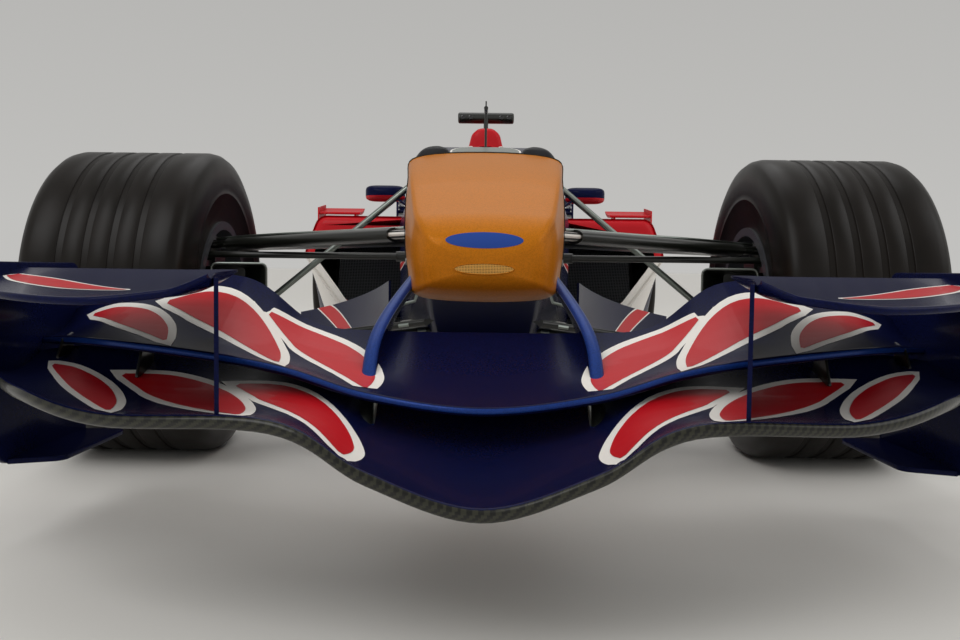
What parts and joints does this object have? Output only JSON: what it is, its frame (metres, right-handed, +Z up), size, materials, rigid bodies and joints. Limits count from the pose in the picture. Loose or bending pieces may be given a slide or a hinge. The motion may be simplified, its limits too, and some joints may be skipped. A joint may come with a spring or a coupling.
{
  "type": "open wheel racing car",
  "caption": "Single-seater racing car with exposed wheels, spoon front wing, raised nose, sidepods, airbox and rear wing; wheels spin and the front pair steers.",
  "frame": {"origin": "On the floor, under the middle of the car's overall box", "axes": "-Y is forward, +Y towards the tail, +X the car's left side and +Z up"},
  "size_m": [1.8, 4.65, 1.118],
  "materials": {
    "body_paint": "navy metallic paint",
    "nose_paint": "gold metallic paint",
    "red_paint": "gloss red paint with white edging",
    "carbon_weave": "lacquered carbon twill",
    "satin_carbon": "satin black carbon",
    "plank_wood": "bonded beech laminate",
    "cast_casing": "cast casing",
    "pipe_steel": "heat-tinted steel",
    "radiator_core": "finned aluminium",
    "mirror_face": "mirror glass",
    "lamp_red": "clear red lens",
    "padding": "covered foam",
    "wheel_grip": "moulded grips",
    "machined_metal": "machined light alloy",
    "tyre_rubber": "satin rubber",
    "wheel_magnesium": "dark painted forging",
    "disc_carbon": "sintered carbon"
  },
  "bodies": {
    "chassis": {"antennas": "satin_carbon", "bargeboards": "carbon_weave", "beam_wing": "carbon_weave", "crash_structure": "carbon_weave", "diffuser": "carbon_weave", "engine": "cast_casing", "engine_cover": "body_paint", "exhausts": "pipe_steel", "floor": "carbon_weave", "front_lower_wishbones": "satin_carbon", "front_pads": "padding", "front_pushrods": "satin_carbon", "front_upper_wishbones": "satin_carbon", "front_wing_endplates": "body_paint", "front_wing_fences": "body_paint", "front_wing_flap": "body_paint", "front_wing_main_plane": "body_paint", "front_wing_pylons": "body_paint", "front_wing_winglets": "body_paint", "gearbox": "cast_casing", "headrest": "padding", "mirror_glasses": "mirror_face", "mirror_pods": "body_paint", "nose_cone": "nose_paint", "onboard_camera": "satin_carbon", "plank": "plank_wood", "radiators": "radiator_core", "rain_light": "lamp_red", "rear_lower_wishbones": "satin_carbon", "rear_pushrods": "satin_carbon", "rear_toe_links": "satin_carbon", "rear_upper_wishbones": "satin_carbon", "rear_uprights": "machined_metal", "rear_wing_endplates": "body_paint", "rear_wing_planes": "carbon_weave", "seat": "carbon_weave", "side_flips": "carbon_weave", "side_winglets": "red_paint", "sidepod_left": "red_paint", "sidepod_right": "red_paint", "survival_cell": "body_paint"},
    "steering_rack": {"steering_rack": "satin_carbon"},
    "steering_wheel": {"steering_wheel": "wheel_grip"},
    "front_upright_left": {"front_upright_left": "machined_metal"},
    "front_upright_right": {"front_upright_right": "machined_metal"},
    "front_wheel_left": {"front_tyre_left": "tyre_rubber", "front_rim_left": "wheel_magnesium", "front_brake_disc_left": "disc_carbon"},
    "front_wheel_right": {"front_tyre_right": "tyre_rubber", "front_rim_right": "wheel_magnesium", "front_brake_disc_right": "disc_carbon"},
    "rear_wheel_left": {"rear_tyre_left": "tyre_rubber", "rear_rim_left": "wheel_magnesium", "rear_brake_disc_left": "disc_carbon"},
    "rear_wheel_right": {"rear_tyre_right": "tyre_rubber", "rear_rim_right": "wheel_magnesium", "rear_brake_disc_right": "disc_carbon"}
  },
  "joints": [
    {"name": "steer_left", "type": "hinge", "parent": "chassis", "child": "front_upright_left", "pos_m": [0.638, -1.195, 0.222], "axis": [-0.1095, 0, 0.994], "range_deg": [-14, 14]},
    {"name": "steer_right", "type": "hinge", "parent": "chassis", "child": "front_upright_right", "pos_m": [-0.638, -1.195, 0.222], "axis": [0.1095, 0, 0.994], "range_deg": [-14, 14]},
    {"name": "rack_slide", "type": "slide", "parent": "chassis", "child": "steering_rack", "axis": [1, 0, 0], "range_m": [-0.022, 0.022]},
    {"name": "steering_wheel_turn", "type": "hinge", "parent": "chassis", "child": "steering_wheel", "pos_m": [0, -0.23, 0.6], "axis": [0, -0.9781, -0.2079], "range_deg": [-150, 150]},
    {"name": "front_left_spin", "type": "hinge", "parent": "front_upright_left", "child": "front_wheel_left", "pos_m": [0.7365, -1.195, 0.33], "axis": [1, 0, 0], "continuous": true},
    {"name": "front_right_spin", "type": "hinge", "parent": "front_upright_right", "child": "front_wheel_right", "pos_m": [-0.7365, -1.195, 0.33], "axis": [1, 0, 0], "continuous": true},
    {"name": "rear_left_spin", "type": "hinge", "parent": "chassis", "child": "rear_wheel_left", "pos_m": [0.7165, 1.835, 0.33], "axis": [1, 0, 0], "continuous": true},
    {"name": "rear_right_spin", "type": "hinge", "parent": "chassis", "child": "rear_wheel_right", "pos_m": [-0.7165, 1.835, 0.33], "axis": [1, 0, 0], "continuous": true}
  ],
  "couplings": [
    {"joint": "steer_right", "follows": "steer_left", "ratio": 1},
    {"joint": "rack_slide", "follows": "steer_left", "m_per_rad": 0.08},
    {"joint": "steering_wheel_turn", "follows": "steer_left", "ratio": -10}
  ]
}
